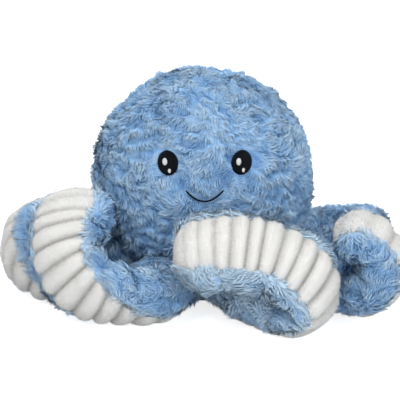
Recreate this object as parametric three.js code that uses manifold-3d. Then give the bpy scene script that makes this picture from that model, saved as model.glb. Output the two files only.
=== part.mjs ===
// A stuffed octopus: a furry ball of a head on a flat base, with eight curling arms.
// Every arm has a fur back, a ribbed pale sole and a filling, and turns at its root.
import * as THREE from "three";
import { mergeVertices } from "three/addons/utils/BufferGeometryUtils.js";
import Module from "manifold-3d";

const wasm = await Module();
wasm.setup();

// Clearances and cloth
const seamGap = 0.35;
const turningGap = 0.7;
const furSkin = 3;
const soleSkin = 2.5;
const overrun = 5;

// Head and base
const headRadius = 92;
const headHalfHeight = 96;
const headCentreHeight = 98;
const hubRadius = 57;
const hubTopShare = 0.708;
const hubHeight = headCentreHeight - headHalfHeight * hubTopShare;
const basePanelRadius = 50;
const basePanelThickness = 3;
const baseEdgeRound = 1;

// Arms
const armHalfWidth = 31;
const armHalfThickness = 21;
const rootRadius = 24;
const rootRingRadius = 79;
const rootHeight = 25;
const tipLength = 24;
const ribPitch = 11.8;
const ribHeight = 1.8;
const floorCut = 0.5;
const armReach = 160;

// Face
const faceOffset = 2;
const eyeSpacing = 62;
const eyeHeight = 133.5;
const eyeHalfWidth = 9.3;
const eyeHalfHeight = 10.4;
const eyeThickness = 1.6;
const gleamHalfWidth = 2;
const gleamHalfHeight = 2.7;
const gleamThickness = 0.8;
const smileHalfWidth = 16;
const smileEndHeight = 113.4;
const smileDrop = 9.2;
const smileThread = 1.1;

// Counts
const armCount = 8;
const headTurns = 28;
const fillingTurns = 18;
const headSteps = 10;
const fillingSteps = 7;
const socketTurns = 14;
const socketRings = 8;
const soleColumns = 4;
const furColumns = 5;
const discSides = 16;
const smileSteps = 16;

const soleHalfAngle = Math.PI * 0.3;
const roundingPower = 0.85;
const creaseShare = 0.5;

const colours = {
  fur: new THREE.MeshStandardMaterial({ color: 0x6c98c8, roughness: 0.95, metalness: 0 }),
  sole: new THREE.MeshStandardMaterial({ color: 0xe6e4dc, roughness: 0.9, metalness: 0 }),
  filling: new THREE.MeshStandardMaterial({ color: 0xf4f4f2, roughness: 1, metalness: 0 }),
  thread: new THREE.MeshStandardMaterial({ color: 0x14161c, roughness: 0.6, metalness: 0 }),
  gleam: new THREE.MeshStandardMaterial({ color: 0xf2f2ee, roughness: 0.6, metalness: 0 }),
};

// The way of each arm beyond its root: across, deep and up, in shares of the arm's reach,
// and the way that its sole faces there.
const armWays = [
  {
    name: "right_back",
    wayShares: [
      [0.6, 0.28, 0], [0.71, 0.33, 0], [0.82, 0.325, 0.01], [0.895, 0.245, 0.03], [0.905, 0.135, 0.05],
      [0.875, 0.045, 0.075],
    ],
    soleShares: [
      [0, 0, -1], [0, 0.1, -1], [0.3, 0.2, -1], [0.7, 0, -0.7], [1, -0.3, -0.2], [1, -0.5, 0.2],
    ],
  },
  {
    name: "back_right",
    wayShares: [
      [0.265, 0.685, 0], [0.28, 0.82, 0.02], [0.29, 0.895, 0.13], [0.29, 0.885, 0.275],
      [0.26, 0.785, 0.385], [0.22, 0.66, 0.42],
    ],
    soleShares: [
      [0, 0, -1], [0.1, 0.5, -0.9], [0.1, 1, -0.3], [0.1, 1, 0.4], [0, 0.6, 0.8], [-0.1, 0.2, 1],
    ],
  },
  {
    name: "back_left",
    wayShares: [
      [-0.265, 0.685, 0], [-0.285, 0.825, 0.02], [-0.3, 0.905, 0.125], [-0.305, 0.91, 0.27],
      [-0.28, 0.825, 0.39], [-0.24, 0.705, 0.445],
    ],
    soleShares: [
      [0, 0, -1], [-0.1, 0.5, -0.9], [-0.1, 1, -0.3], [-0.1, 1, 0.4], [0, 0.6, 0.8], [0.1, 0.2, 1],
    ],
  },
  {
    name: "left_back",
    wayShares: [
      [-0.65, 0.26, 0], [-0.805, 0.335, 0], [-0.87, 0.465, 0], [-0.82, 0.615, 0.005], [-0.68, 0.7, 0.02],
      [-0.56, 0.69, 0.05],
    ],
    soleShares: [
      [0, 0, -1], [0, 0, -1], [-0.2, 0.1, -1], [-0.3, 0.3, -1], [-0.1, 0.4, -1], [0, 0.5, -0.9],
    ],
  },
  {
    name: "left_front",
    wayShares: [
      [-0.69, -0.29, 0], [-0.82, -0.31, 0.01], [-0.93, -0.27, 0.08], [-0.965, -0.14, 0.16],
      [-0.89, -0.03, 0.215], [-0.76, 0, 0.25],
    ],
    soleShares: [
      [0, -0.1, -1], [-0.6, -0.4, -0.9], [-1, -0.3, -0.1], [-0.9, 0.2, 0.4], [-0.4, 0.4, 0.8], [0, 0.3, 1],
    ],
  },
  {
    name: "front_left",
    wayShares: [
      [-0.305, -0.635, 0.005], [-0.44, -0.7, 0.03], [-0.58, -0.715, 0.09], [-0.675, -0.68, 0.19],
      [-0.705, -0.585, 0.3], [-0.695, -0.45, 0.385], [-0.68, -0.3, 0.42],
    ],
    soleShares: [
      [0, -0.2, -1], [-0.1, -0.6, -0.85], [-0.35, -1, -0.5], [-0.55, -1, 0.1], [-0.5, -0.9, 0.5],
      [-0.35, -0.6, 0.9], [-0.2, -0.3, 1],
    ],
  },
  {
    name: "front_right",
    wayShares: [
      [0.355, -0.67, 0], [0.49, -0.8, 0], [0.535, -0.865, 0.09], [0.49, -0.895, 0.19],
      [0.35, -0.895, 0.285], [0.165, -0.885, 0.32], [-0.01, -0.87, 0.305], [-0.14, -0.85, 0.27],
    ],
    soleShares: [
      [0.1, -0.1, -1], [0.5, -0.5, -0.8], [1, -0.6, 0], [0.7, -0.7, 0.5], [0.3, -0.6, 0.75], [0, -0.6, 0.8],
      [0, -0.6, 0.8], [0, -0.6, 0.8],
    ],
  },
  {
    name: "right_front",
    wayShares: [
      [0.67, -0.305, 0], [0.8, -0.43, 0], [0.9, -0.545, 0.055], [0.94, -0.595, 0.165],
      [0.895, -0.595, 0.265], [0.805, -0.575, 0.3], [0.715, -0.55, 0.255],
    ],
    soleShares: [
      [0, 0, -1], [0.3, -0.15, -0.9], [0.8, -0.15, -0.6], [1, -0.05, 0.1], [0.7, -0.1, 0.7], [0.1, -0.1, 1],
      [-0.5, -0.1, 0.8],
    ],
  },
];

// Half sizes along an arm between root and tip, as shares of the widest.
const swellPlaceShares = [0, 0.15, 0.35, 0.85, 1];
const widthShares = [0, 0.45, 1, 0.97, 0.87];
const thicknessShares = [0, 0.35, 1, 0.9, 0.8];
const rootStraightShares = [0.35, 0.3];
const rootRowShares = [0.04, 0.35, 1];
const tipRowShares = [0.5, 0.94];

const floorHeight = armHalfThickness + ribHeight - floorCut;

function between(places, values, place) {
  const last = places.length - 1;
  for (let i = 0; i < last; i += 1) {
    if (place <= places[i + 1]) {
      return THREE.MathUtils.mapLinear(place, places[i], places[i + 1], values[i], values[i + 1]);
    }
  }
  return values[last];
}

function fromTriangles(positions, indices) {
  const geometry = new THREE.BufferGeometry();
  geometry.setAttribute("position", new THREE.Float32BufferAttribute(positions, 3));
  geometry.setIndex(indices);
  return geometry;
}

function toSolid(geometry) {
  const bare = geometry.clone();
  bare.deleteAttribute("normal");
  bare.deleteAttribute("uv");
  const merged = mergeVertices(bare);
  return new wasm.Manifold(new wasm.Mesh({
    numProp: 3,
    vertProperties: new Float32Array(merged.attributes.position.array),
    triVerts: new Uint32Array(merged.index.array),
  }));
}

function toGeometry(solid) {
  const mesh = solid.getMesh();
  return fromTriangles(Array.from(mesh.vertProperties), Array.from(mesh.triVerts));
}

function named(name, geometry, material) {
  const mesh = new THREE.Mesh(geometry, material);
  mesh.name = name;
  return mesh;
}

// Arm shape

function rootPlace(index, ringRadius) {
  const angle = (index + 0.5) * (Math.PI * 2) / armCount;
  return new THREE.Vector3(Math.cos(angle) * ringRadius, Math.sin(angle) * ringRadius, rootHeight);
}

function armCurve(way, index) {
  const points = [
    rootPlace(index, rootRingRadius - rootRadius),
    rootPlace(index, rootRingRadius - rootRadius * rootStraightShares[0]),
    rootPlace(index, rootRingRadius + rootRadius * rootStraightShares[1]),
  ];
  const soles = points.map(() => new THREE.Vector3(0, 0, -1));
  way.wayShares.forEach((share) => {
    points.push(new THREE.Vector3(share[0] * armReach, share[1] * armReach, share[2] * armReach + floorHeight));
  });
  way.soleShares.forEach((share) => soles.push(new THREE.Vector3(...share)));
  const route = new THREE.CatmullRomCurve3(points, false, "catmullrom", 0.5);
  route.arcLengthDivisions = 400;
  const facing = new THREE.CatmullRomCurve3(soles, false, "catmullrom", 0.5);
  return { route, facing, length: route.getLength(), pivot: rootPlace(index, rootRingRadius) };
}

function frameAt(arm, along) {
  const place = THREE.MathUtils.clamp(along / arm.length, 0, 1);
  const step = 0.02;
  const centre = arm.route.getPointAt(place);
  const tangent = arm.route.getTangentAt(place);
  const before = arm.route.getTangentAt(Math.max(place - step, 0));
  const after = arm.route.getTangentAt(Math.min(place + step, 1));
  const span = (Math.min(place + step, 1) - Math.max(place - step, 0)) * arm.length;
  const bend = after.clone().sub(before).divideScalar(span);
  const sole = arm.facing.getPoint(arm.route.getUtoTmapping(place));
  sole.addScaledVector(tangent, -sole.dot(tangent)).normalize();
  const side = new THREE.Vector3().crossVectors(tangent, sole);
  return { centre, bend, sole, side };
}

function endShare(arm, along) {
  const fromTip = arm.length - along;
  const rootPart = Math.min(along / rootRadius, 1);
  const tipPart = Math.min(fromTip / tipLength, 1);
  const depth = 1 - Math.min(rootPart, tipPart);
  return Math.sqrt(1 - depth * depth);
}

function softPower(value) {
  return Math.sign(value) * Math.abs(value) ** roundingPower;
}

// A point of the arm's surface, drawn in by an inset and swollen by a rib.
function armPoint(arm, along, angle, inset, swell) {
  const place = along / arm.length;
  const shrunk = inset + place * (arm.length - inset * 2);
  const frame = frameAt(arm, shrunk);
  const widthShare = between(swellPlaceShares, widthShares, place);
  const thicknessShare = between(swellPlaceShares, thicknessShares, place);
  const wide = THREE.MathUtils.lerp(rootRadius, armHalfWidth, widthShare) - inset;
  const thick = THREE.MathUtils.lerp(rootRadius, armHalfThickness, thicknessShare) - inset + swell;
  const round = THREE.MathUtils.smoothstep(place, 0.1, 0.3);
  const cosine = THREE.MathUtils.lerp(Math.cos(angle), softPower(Math.cos(angle)), round);
  const sine = THREE.MathUtils.lerp(Math.sin(angle), softPower(Math.sin(angle)), round);
  const share = endShare(arm, along);
  const offset = frame.sole.multiplyScalar(thick * share * cosine);
  offset.addScaledVector(frame.side, wide * share * sine);
  const crease = 1 + Math.max(0, offset.dot(frame.bend)) * creaseShare;
  return frame.centre.addScaledVector(offset, 1 / crease).sub(arm.pivot);
}

function armRows(arm) {
  const straight = arm.length - rootRadius - tipLength;
  const ribs = Math.round(straight / ribPitch);
  const rows = rootRowShares.map((share) => share * rootRadius);
  for (let rib = 1; rib <= ribs; rib += 1) {
    rows.push(rootRadius + straight * rib / ribs);
  }
  tipRowShares.forEach((share) => rows.push(arm.length - tipLength * (1 - share)));
  return rows;
}

function columnAngles(from, to, columns) {
  return Array.from({ length: columns + 1 }, (_, i) => THREE.MathUtils.lerp(from, to, i / columns));
}

// A closed skin between an outer grid and an inner grid. The outer grid may have
// one more row between every two rows of the inner grid.
function closedSkin(outer, inner) {
  const columns = inner[0].length;
  const ratio = (outer.length - 1) / (inner.length - 1);
  const positions = [];
  outer.flat().concat(inner.flat()).forEach((point) => positions.push(point.x, point.y, point.z));
  const outerAt = (row, column) => row * columns + column;
  const innerAt = (row, column) => (outer.length + row) * columns + column;
  const indices = [];
  const last = columns - 1;
  for (let row = 0; row < outer.length - 1; row += 1) {
    for (let column = 0; column < last; column += 1) {
      const a = outerAt(row, column);
      const b = outerAt(row, column + 1);
      const c = outerAt(row + 1, column + 1);
      const d = outerAt(row + 1, column);
      indices.push(a, b, c, a, c, d);
    }
  }
  for (let row = 0; row < inner.length - 1; row += 1) {
    for (let column = 0; column < last; column += 1) {
      const a = innerAt(row, column);
      const b = innerAt(row, column + 1);
      const c = innerAt(row + 1, column + 1);
      const d = innerAt(row + 1, column);
      indices.push(a, c, b, a, d, c);
    }
    for (let part = 0; part < ratio; part += 1) {
      const here = row * ratio + part;
      const near = part * 2 < ratio ? row : row + 1;
      indices.push(outerAt(here, 0), outerAt(here + 1, 0), innerAt(near, 0));
      indices.push(outerAt(here, last), innerAt(near, last), outerAt(here + 1, last));
    }
    const middle = row * ratio + Math.ceil(ratio / 2);
    indices.push(innerAt(row, 0), outerAt(middle, 0), innerAt(row + 1, 0));
    indices.push(innerAt(row, last), innerAt(row + 1, last), outerAt(middle, last));
  }
  for (let column = 0; column < last; column += 1) {
    indices.push(outerAt(0, column), innerAt(0, column), innerAt(0, column + 1));
    indices.push(outerAt(0, column), innerAt(0, column + 1), outerAt(0, column + 1));
    const end = outer.length - 1;
    const innerEnd = inner.length - 1;
    indices.push(outerAt(end, column), innerAt(innerEnd, column + 1), innerAt(innerEnd, column));
    indices.push(outerAt(end, column), outerAt(end, column + 1), innerAt(innerEnd, column + 1));
  }
  return fromTriangles(positions, indices);
}

function withMiddles(rows) {
  const all = [rows[0]];
  for (let i = 1; i < rows.length; i += 1) {
    all.push((rows[i - 1] + rows[i]) / 2, rows[i]);
  }
  return all;
}

// The sole's edges run straight from groove to groove, as the fur's edges beside them do.
function straightenEdges(grid) {
  const last = grid[0].length - 1;
  for (let row = 1; row < grid.length; row += 2) {
    [0, last].forEach((column) => {
      grid[row][column].lerpVectors(grid[row - 1][column], grid[row + 1][column], 0.5);
    });
  }
}

function ribSwell(arm, along, isMiddle) {
  if (!isMiddle || along < rootRadius) {
    return 0;
  }
  const fading = THREE.MathUtils.clamp((arm.length - along) / tipLength, 0, 1);
  return ribHeight * fading;
}

function aboveFloor(geometry, pivot) {
  const reachAll = (armReach + armHalfWidth) * 4;
  const slab = new THREE.BoxGeometry(reachAll, reachAll, armReach);
  slab.translate(-pivot.x, -pivot.y, -armReach / 2 - pivot.z);
  return toGeometry(toSolid(geometry).subtract(toSolid(slab)));
}

function soleGeometry(arm) {
  const rows = armRows(arm);
  const angles = columnAngles(-soleHalfAngle, soleHalfAngle, soleColumns);
  const outer = withMiddles(rows).map((along, i) => (
    angles.map((angle) => armPoint(arm, along, angle, 0, ribSwell(arm, along, i % 2 === 1)))
  ));
  straightenEdges(outer);
  const inner = rows.map((along) => angles.map((angle) => armPoint(arm, along, angle, soleSkin, 0)));
  return aboveFloor(closedSkin(outer, inner), arm.pivot);
}

function furGeometry(arm) {
  const rows = armRows(arm);
  const gapAngle = seamGap / armHalfThickness;
  const angles = columnAngles(soleHalfAngle + gapAngle, Math.PI * 2 - soleHalfAngle - gapAngle, furColumns);
  const outer = rows.map((along) => angles.map((angle) => armPoint(arm, along, angle, 0, 0)));
  const inner = rows.map((along) => angles.map((angle) => armPoint(arm, along, angle, furSkin, 0)));
  return aboveFloor(closedSkin(outer, inner), arm.pivot);
}

// A closed tube through rings of points, with a flat fan at either end.
function closedTube(rings) {
  const sides = rings[0].length;
  const positions = [];
  rings.flat().forEach((point) => positions.push(point.x, point.y, point.z));
  const indices = [];
  for (let ring = 0; ring < rings.length - 1; ring += 1) {
    for (let side = 0; side < sides; side += 1) {
      const a = ring * sides + side;
      const b = ring * sides + (side + 1) % sides;
      indices.push(a, b, b + sides, a, b + sides, a + sides);
    }
  }
  const top = (rings.length - 1) * sides;
  for (let side = 1; side < sides - 1; side += 1) {
    indices.push(0, side + 1, side, top, top + side, top + side + 1);
  }
  return fromTriangles(positions, indices);
}

function fillingGeometry(arm) {
  const gapAngle = seamGap / armHalfThickness;
  const soleAngles = columnAngles(-soleHalfAngle, soleHalfAngle, soleColumns);
  const furAngles = columnAngles(soleHalfAngle + gapAngle, Math.PI * 2 - soleHalfAngle - gapAngle, furColumns);
  const rings = armRows(arm).map((along) => (
    soleAngles.map((angle) => armPoint(arm, along, angle, soleSkin + seamGap, 0)).concat(
      furAngles.map((angle) => armPoint(arm, along, angle, furSkin + seamGap, 0)),
    )
  ));
  return closedTube(rings);
}

function makeArm(way, index) {
  const arm = armCurve(way, index);
  const group = new THREE.Group();
  group.position.copy(arm.pivot);
  group.add(named(`${way.name}_arm_fur`, furGeometry(arm), colours.fur));
  group.add(named(`${way.name}_arm_sole`, soleGeometry(arm), colours.sole));
  group.add(named(`${way.name}_arm_filling`, fillingGeometry(arm), colours.filling));
  return group;
}

// Head and base

// The head's outline from the base up to the crown, drawn in by an inset: a straight
// hub below, then the ball.
function headProfile(inset, from, hub, hubTop, steps) {
  const wide = headRadius - inset;
  const high = headHalfHeight - inset;
  const start = Math.asin((hubTop - headCentreHeight) / high);
  const points = [new THREE.Vector2(0, from), new THREE.Vector2(hub, from), new THREE.Vector2(hub, hubTop)];
  for (let i = 0; i < steps; i += 1) {
    const angle = THREE.MathUtils.lerp(start, Math.PI / 2, i / steps);
    points.push(new THREE.Vector2(Math.cos(angle) * wide, headCentreHeight + Math.sin(angle) * high));
  }
  points.push(new THREE.Vector2(0, headCentreHeight + high));
  return points;
}

function turned(profile, turns) {
  const geometry = new THREE.LatheGeometry(profile, turns);
  geometry.rotateX(Math.PI / 2);
  return geometry;
}

// The outside of the head, with a round socket for each arm's root.
function headOutside(from) {
  const roundness = Math.cos(Math.PI / socketTurns) * Math.cos(Math.PI / (socketRings * 2));
  const socketRadius = (rootRadius + turningGap) / roundness;
  let solid = toSolid(turned(headProfile(0, from, hubRadius, hubHeight, headSteps), headTurns));
  for (let index = 0; index < armCount; index += 1) {
    const ball = new THREE.SphereGeometry(socketRadius, socketTurns, socketRings);
    const place = rootPlace(index, rootRingRadius);
    ball.translate(place.x, place.y, place.z);
    solid = solid.subtract(toSolid(ball));
  }
  return solid;
}

// The room inside the head, which keeps clear of the sockets.
function headInside(inset, from) {
  const neck = rootRingRadius - rootRadius - turningGap - inset;
  const neckTop = rootHeight + rootRadius + turningGap + inset;
  return toSolid(turned(headProfile(inset, from, neck, neckTop, fillingSteps), fillingTurns));
}

function halfSpace(sign) {
  const size = (headCentreHeight + headHalfHeight + headRadius) * 2;
  const block = new THREE.BoxGeometry(size, size, size);
  block.translate(0, sign * (size / 2 + seamGap / 2), 0);
  return toSolid(block);
}

function headPieces() {
  const bottom = basePanelThickness + seamGap;
  const shell = headOutside(bottom).subtract(headInside(furSkin, bottom - overrun));
  const filling = headInside(furSkin + seamGap, bottom);
  const group = new THREE.Group();
  group.add(named("head_fur_front", toGeometry(shell.intersect(halfSpace(-1))), colours.fur));
  group.add(named("head_fur_back", toGeometry(shell.intersect(halfSpace(1))), colours.fur));
  group.add(named("head_filling", toGeometry(filling), colours.filling));
  return group;
}

function basePanel() {
  const profile = [
    new THREE.Vector2(0, 0),
    new THREE.Vector2(basePanelRadius - baseEdgeRound, 0),
    new THREE.Vector2(basePanelRadius, baseEdgeRound),
    new THREE.Vector2(basePanelRadius, basePanelThickness),
    new THREE.Vector2(0, basePanelThickness),
  ];
  return named("base_panel", turned(profile, headTurns), colours.sole);
}

// Face

// A point that stands off the front of the head by an offset.
function facePoint(across, height, offset) {
  const x = across / (headRadius + offset);
  const z = (height - headCentreHeight) / (headHalfHeight + offset);
  const y = -(headRadius + offset) * Math.sqrt(1 - x * x - z * z);
  return new THREE.Vector3(across, y, height);
}

// An oval patch that follows the head, between two offsets.
function facePatch(across, height, halfWidth, halfHeight, from, to) {
  const ring = (share, offset) => Array.from({ length: discSides }, (_, i) => {
    const angle = Math.PI * 2 * i / discSides;
    return facePoint(
      across + Math.cos(angle) * halfWidth * share,
      height + Math.sin(angle) * halfHeight * share,
      offset,
    );
  });
  return closedTube([ring(0.5, from), ring(1, from), ring(1, to), ring(0.5, to)]);
}

function makeEye(name, across) {
  const group = new THREE.Group();
  const top = seamGap + eyeThickness;
  group.add(named(`${name}_eye`, facePatch(across, eyeHeight, eyeHalfWidth, eyeHalfHeight, seamGap, top), colours.thread));
  const gleams = [
    { suffix: "upper", shiftShares: [-0.28, 0.2], sizeShare: 1 },
    { suffix: "lower", shiftShares: [0.16, -0.5], sizeShare: 0.62 },
  ];
  gleams.forEach((gleam) => {
    const geometry = facePatch(
      across + eyeHalfWidth * gleam.shiftShares[0],
      eyeHeight + eyeHalfHeight * gleam.shiftShares[1],
      gleamHalfWidth * gleam.sizeShare,
      gleamHalfHeight * gleam.sizeShare,
      top + seamGap,
      top + seamGap + gleamThickness,
    );
    group.add(named(`${name}_eye_gleam_${gleam.suffix}`, geometry, colours.gleam));
  });
  return group;
}

function makeSmile() {
  const rings = [];
  const sides = 6;
  for (let step = 0; step <= smileSteps; step += 1) {
    const share = THREE.MathUtils.lerp(-1, 1, step / smileSteps);
    const across = faceOffset + share * smileHalfWidth;
    const height = smileEndHeight - smileDrop * (1 - share * share);
    const lean = Math.atan2(smileDrop * 2 * share, smileHalfWidth);
    rings.push(Array.from({ length: sides }, (_, side) => {
      const angle = Math.PI * 2 * side / sides;
      const radial = Math.sin(angle) * smileThread;
      return facePoint(
        across - Math.sin(lean) * Math.cos(angle) * smileThread,
        height + Math.cos(lean) * Math.cos(angle) * smileThread,
        seamGap + smileThread + radial,
      );
    }));
  }
  return named("smile", closedTube(rings), colours.thread);
}

const octopus = new THREE.Group();
octopus.add(headPieces(), basePanel(), makeSmile());
octopus.add(makeEye("left", faceOffset + eyeSpacing / 2));
octopus.add(makeEye("right", faceOffset - eyeSpacing / 2));
armWays.forEach((way, index) => octopus.add(makeArm(way, index)));

export default octopus;
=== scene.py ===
import math

import bmesh
import bpy
import numpy as np
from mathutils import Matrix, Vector, noise


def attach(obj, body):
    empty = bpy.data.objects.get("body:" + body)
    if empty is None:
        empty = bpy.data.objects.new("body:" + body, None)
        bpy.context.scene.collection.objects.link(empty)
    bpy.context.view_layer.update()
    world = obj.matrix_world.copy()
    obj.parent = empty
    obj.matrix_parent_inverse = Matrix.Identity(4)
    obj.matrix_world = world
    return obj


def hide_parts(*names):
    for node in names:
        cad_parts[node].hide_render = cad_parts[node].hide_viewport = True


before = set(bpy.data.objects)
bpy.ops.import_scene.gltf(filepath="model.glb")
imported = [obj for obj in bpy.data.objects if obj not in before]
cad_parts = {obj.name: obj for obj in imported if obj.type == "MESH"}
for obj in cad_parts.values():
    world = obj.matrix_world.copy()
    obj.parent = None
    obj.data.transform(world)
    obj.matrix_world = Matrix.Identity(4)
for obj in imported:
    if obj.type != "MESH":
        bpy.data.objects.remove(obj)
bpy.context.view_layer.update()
mm = 0.001


# nodes

class NodeMaker:
    # shorthands for building a node tree
    def __init__(self, tree):
        self.tree = tree

    def sockets(self, way, kind, *labels):
        for label in labels:
            self.tree.interface.new_socket(name=label, in_out=way, socket_type="NodeSocket" + kind)

    def feed(self, value, socket):
        if isinstance(value, bpy.types.NodeSocket):
            self.tree.links.new(value, socket)
        else:
            socket.default_value = value

    def add(self, kind, inputs=None, **settings):
        node = self.tree.nodes.new(kind)
        for key, value in settings.items():
            setattr(node, key, value)
        for key, value in (inputs or {}).items():
            self.feed(value, node.inputs[key])
        return node

    def math(self, operation, *values, clamp=False):
        node = self.add("ShaderNodeMath", dict(enumerate(values)), operation=operation, use_clamp=clamp)
        return node.outputs[0]

    def vector(self, operation, *values, output="Vector", **inputs):
        node = self.add("ShaderNodeVectorMath", {**dict(enumerate(values)), **inputs}, operation=operation)
        return node.outputs[output]

    def random(self, kind, inputs, output):
        return self.add("FunctionNodeRandomValue", inputs, data_type=kind).outputs[output]

    def attribute(self, name, output="Fac"):
        node = self.add("ShaderNodeAttribute", attribute_type="GEOMETRY", attribute_name=name)
        return node.outputs[output]

    def named(self, name, kind="FLOAT"):
        node = self.add("GeometryNodeInputNamedAttribute", {"Name": name}, data_type=kind)
        return node.outputs["Attribute"]

    def store(self, geometry, name, value, kind="FLOAT", domain="POINT"):
        inputs = {"Name": name, "Geometry": geometry, "Value": value}
        node = self.add("GeometryNodeStoreNamedAttribute", inputs, data_type=kind, domain=domain)
        return node.outputs["Geometry"]


# camera and studio

studio = {
    "viewHeight": 16.0,        # degrees above the floor
    "viewDistance": 1.4,
    "viewClip": (0.05, 20.0),
    "lookAt": (-0.002, 0.0, 0.078),
    "lens": 140.0,
    "sensor": 36.0,
    "worldStrength": 0.55,
    "worldTint": (0.93, 0.96, 1.0),
    "lampAim": (0.0, 0.0, 0.08),
    "lamps": [
        {"name": "keyLamp", "place": (-0.55, -1.15, 1.5), "size": 0.9, "power": 13.5,
         "tint": (1.0, 0.985, 0.96)},
        {"name": "topLamp", "place": (0.15, 0.25, 1.7), "size": 1.1, "power": 13.0,
         "tint": (0.98, 0.99, 1.0)},
        {"name": "fillLamp", "place": (0.7, -1.5, 0.4), "size": 1.0, "power": 9.0,
         "tint": (0.96, 0.98, 1.0)},
    ],
    "floorSize": 4.0,
    "floorTint": (0.86, 0.87, 0.88),
    "floorGlow": 0.78,         # lifts the paper to white for the camera alone
}


def newObject(name, data):
    thing = bpy.data.objects.new(name, data)
    bpy.context.scene.collection.objects.link(thing)
    return thing


def aimAt(thing, place, target):
    thing.location = place
    thing.rotation_euler = (Vector(target) - Vector(place)).to_track_quat("-Z", "Y").to_euler()


def makeCamera():
    height = math.radians(studio["viewHeight"])
    away = Vector((0.0, -math.cos(height), math.sin(height))) * studio["viewDistance"]
    camera = bpy.data.cameras.new("photoCamera")
    camera.sensor_width = studio["sensor"]
    camera.lens = studio["lens"]
    camera.clip_start, camera.clip_end = studio["viewClip"]
    holder = newObject("photoCamera", camera)
    aimAt(holder, Vector(studio["lookAt"]) + away, studio["lookAt"])
    bpy.context.scene.camera = holder


def makeLamps():
    for lamp in studio["lamps"]:
        data = bpy.data.lights.new(lamp["name"], "AREA")
        data.shape = "DISK"
        data.size = lamp["size"]
        data.energy = lamp["power"]
        data.color = lamp["tint"]
        aimAt(newObject(lamp["name"], data), lamp["place"], studio["lampAim"])


def forCamera(make, lit, seen, end):
    # the camera sees one of the two, and all other rays meet the other
    path = make.add("ShaderNodeLightPath")
    mix = make.add("ShaderNodeMixShader", {0: path.outputs["Is Camera Ray"], 1: lit, 2: seen})
    make.add(end, {"Surface": mix.outputs["Shader"]})


def makeWorld():
    world = bpy.data.worlds.new("studioWorld")
    bpy.context.scene.world = world
    world.use_nodes = True
    world.node_tree.nodes.clear()
    make = NodeMaker(world.node_tree)
    lights = ((studio["worldTint"], studio["worldStrength"]), ((1.0, 1.0, 1.0), 1.0))
    lit, seen = [make.add("ShaderNodeBackground", {"Color": colour(tint), "Strength": strength})
                 for tint, strength in lights]
    forCamera(make, lit.outputs["Background"], seen.outputs["Background"], "ShaderNodeOutputWorld")


def makeFloor():
    bm = bmesh.new()
    bmesh.ops.create_grid(bm, x_segments=1, y_segments=1, size=studio["floorSize"] / 2)
    floor = meshObject("studioFloor", bm)
    material, make = newMaterial("studioPaper")
    make.tree.nodes.clear()
    paper = make.add("ShaderNodeBsdfDiffuse", {"Color": colour(studio["floorTint"])})
    glow = make.add("ShaderNodeEmission", {"Color": (1.0, 1.0, 1.0, 1.0), "Strength": studio["floorGlow"]})
    both = make.add("ShaderNodeAddShader", {0: paper.outputs["BSDF"], 1: glow.outputs["Emission"]})
    forCamera(make, paper.outputs["BSDF"], both.outputs["Shader"], "ShaderNodeOutputMaterial")
    floor.data.materials.append(material)


def meshObject(name, bm):
    mesh = bpy.data.meshes.new(name)
    bm.normal_update()
    bm.to_mesh(mesh)
    bm.free()
    mesh.polygons.foreach_set("use_smooth", [True] * len(mesh.polygons))
    return newObject(name, mesh)


def settle(piece):
    # the finished shape, with every modifier applied
    bpy.context.view_layer.update()
    seen = piece.evaluated_get(bpy.context.evaluated_depsgraph_get())
    mesh = bpy.data.meshes.new_from_object(seen)
    old = piece.data
    piece.modifiers.clear()
    piece.data = mesh
    bpy.data.meshes.remove(old)
    mesh.name = piece.name


# colours and cloth

cloth = {
    # the fur's colours run from painted shade at the roots, through the middle, to painted light at the tips
    "furRoot": (0.062, 0.180, 0.430),
    "furMiddle": (0.325, 0.565, 0.890),
    "furTip": (0.670, 0.850, 0.990),
    "furShade": -0.34,         # where on the fur's colours it starts, and what each value adds
    # the tuft share paints light on the tops of tufts and shade in the creases between them
    "furShares": {"tipShare": 0.38, "tuft": 0.96, "tint": 0.16, "pale": 0.6, "patches": 0.34},
    "furStreak": 0.3,
    "furNormal": 0.76,
    "white": (0.850, 0.838, 0.806),
    # painted shade for the grooves between the ribs
    "whiteGrooveShade": (0.330, 0.315, 0.290),
    "whiteShade": -0.42,
    "whiteShares": {"patches": 0.35, "fibres": 0.55, "tint": 0.34},
    "grooveEdge": 0.45,
    "whiteNormal": 0.4,
    "thread": (0.004, 0.005, 0.008),
    "threadDark": 0.45,
    "gleam": (0.930, 0.930, 0.920),
    "fibre": (0.860, 0.860, 0.850),
    "fibreDark": 0.8,
}


def colour(value):
    # a plain colour gets its fourth value, and a socket stays as it is
    return value if isinstance(value, bpy.types.NodeSocket) else (*value, 1.0)


def newMaterial(name):
    material = bpy.data.materials.new(name)
    material.use_nodes = True
    return material, NodeMaker(material.node_tree)


def finishMaterial(make, inputs):
    shader = make.tree.nodes["Principled BSDF"]
    for key, value in {"Metallic": 0.0, **inputs}.items():
        make.feed(value, shader.inputs[key])


def mixColour(make, share, first, second):
    mix = make.add("ShaderNodeMix", {0: share, 6: colour(first), 7: colour(second)}, data_type="RGBA")
    return mix.outputs[2]


def weigh(make, start, values, shares):
    # a start value, and each value times its share
    total = start
    for name, share in shares.items():
        total = make.math("MULTIPLY_ADD", values[name], share, total)
    return total


def patchNoise():
    # soft light and dark patches, and a finer grain
    group = bpy.data.node_groups.new("patchNoise", "ShaderNodeTree")
    make = NodeMaker(group)
    make.sockets("INPUT", "Vector", "Place")
    make.sockets("INPUT", "Float", "Patch", "Grain")
    make.sockets("OUTPUT", "Float", "Patches", "Fibres")
    start, end = make.add("NodeGroupInput"), make.add("NodeGroupOutput")
    for label, result, detail in (("Patch", "Patches", 3.0), ("Grain", "Fibres", 2.0)):
        texture = make.add("ShaderNodeTexNoise", {
            "Vector": start.outputs["Place"], "Scale": start.outputs[label], "Detail": detail})
        make.feed(texture.outputs["Fac"], end.inputs[result])
    return group


def ownPlace(make):
    return make.add("ShaderNodeTexCoord").outputs["Object"]


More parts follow.
